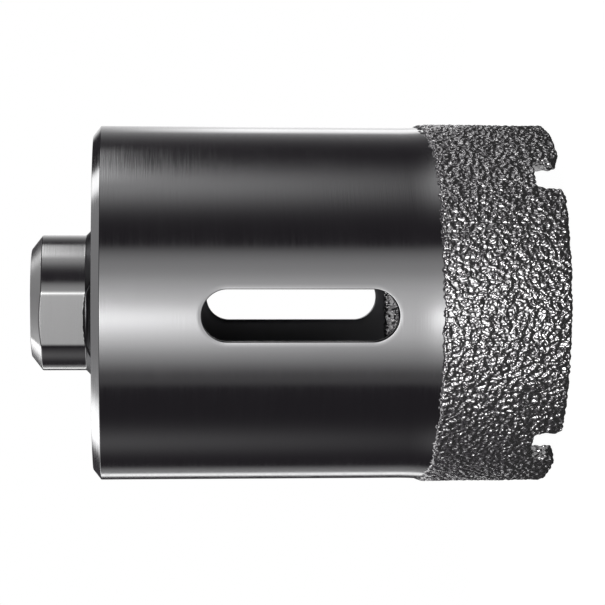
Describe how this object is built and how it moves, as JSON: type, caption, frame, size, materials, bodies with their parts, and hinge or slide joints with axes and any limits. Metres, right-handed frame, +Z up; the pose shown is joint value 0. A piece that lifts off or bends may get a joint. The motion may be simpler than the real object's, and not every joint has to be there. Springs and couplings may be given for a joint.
{
  "type": "diamond core bit",
  "caption": "Closed steel cup with a threaded hub on its end, cleaning slots in its wall and a notched crown of brazed diamond grit round its open rim.",
  "frame": {"origin": "centre of the cutting rim, which is the surface that the bit stands on", "axes": "+Z up the drilling axis from the cutting rim to the threaded hub; the cleaning slots face -Y and +Y"},
  "size_m": [0.064, 0.064, 0.0909],
  "materials": {
    "cup_steel": "dark nickel plate, finely brushed round the axis",
    "hub_steel": "dark nickel plate, smoother than the cup",
    "diamond_grit": "dark braze full of glinting diamond grains"
  },
  "bodies": {
    "root": {"cup": "cup_steel", "diamond_crown": "diamond_grit", "hub": "hub_steel"}
  },
  "joints": []
}
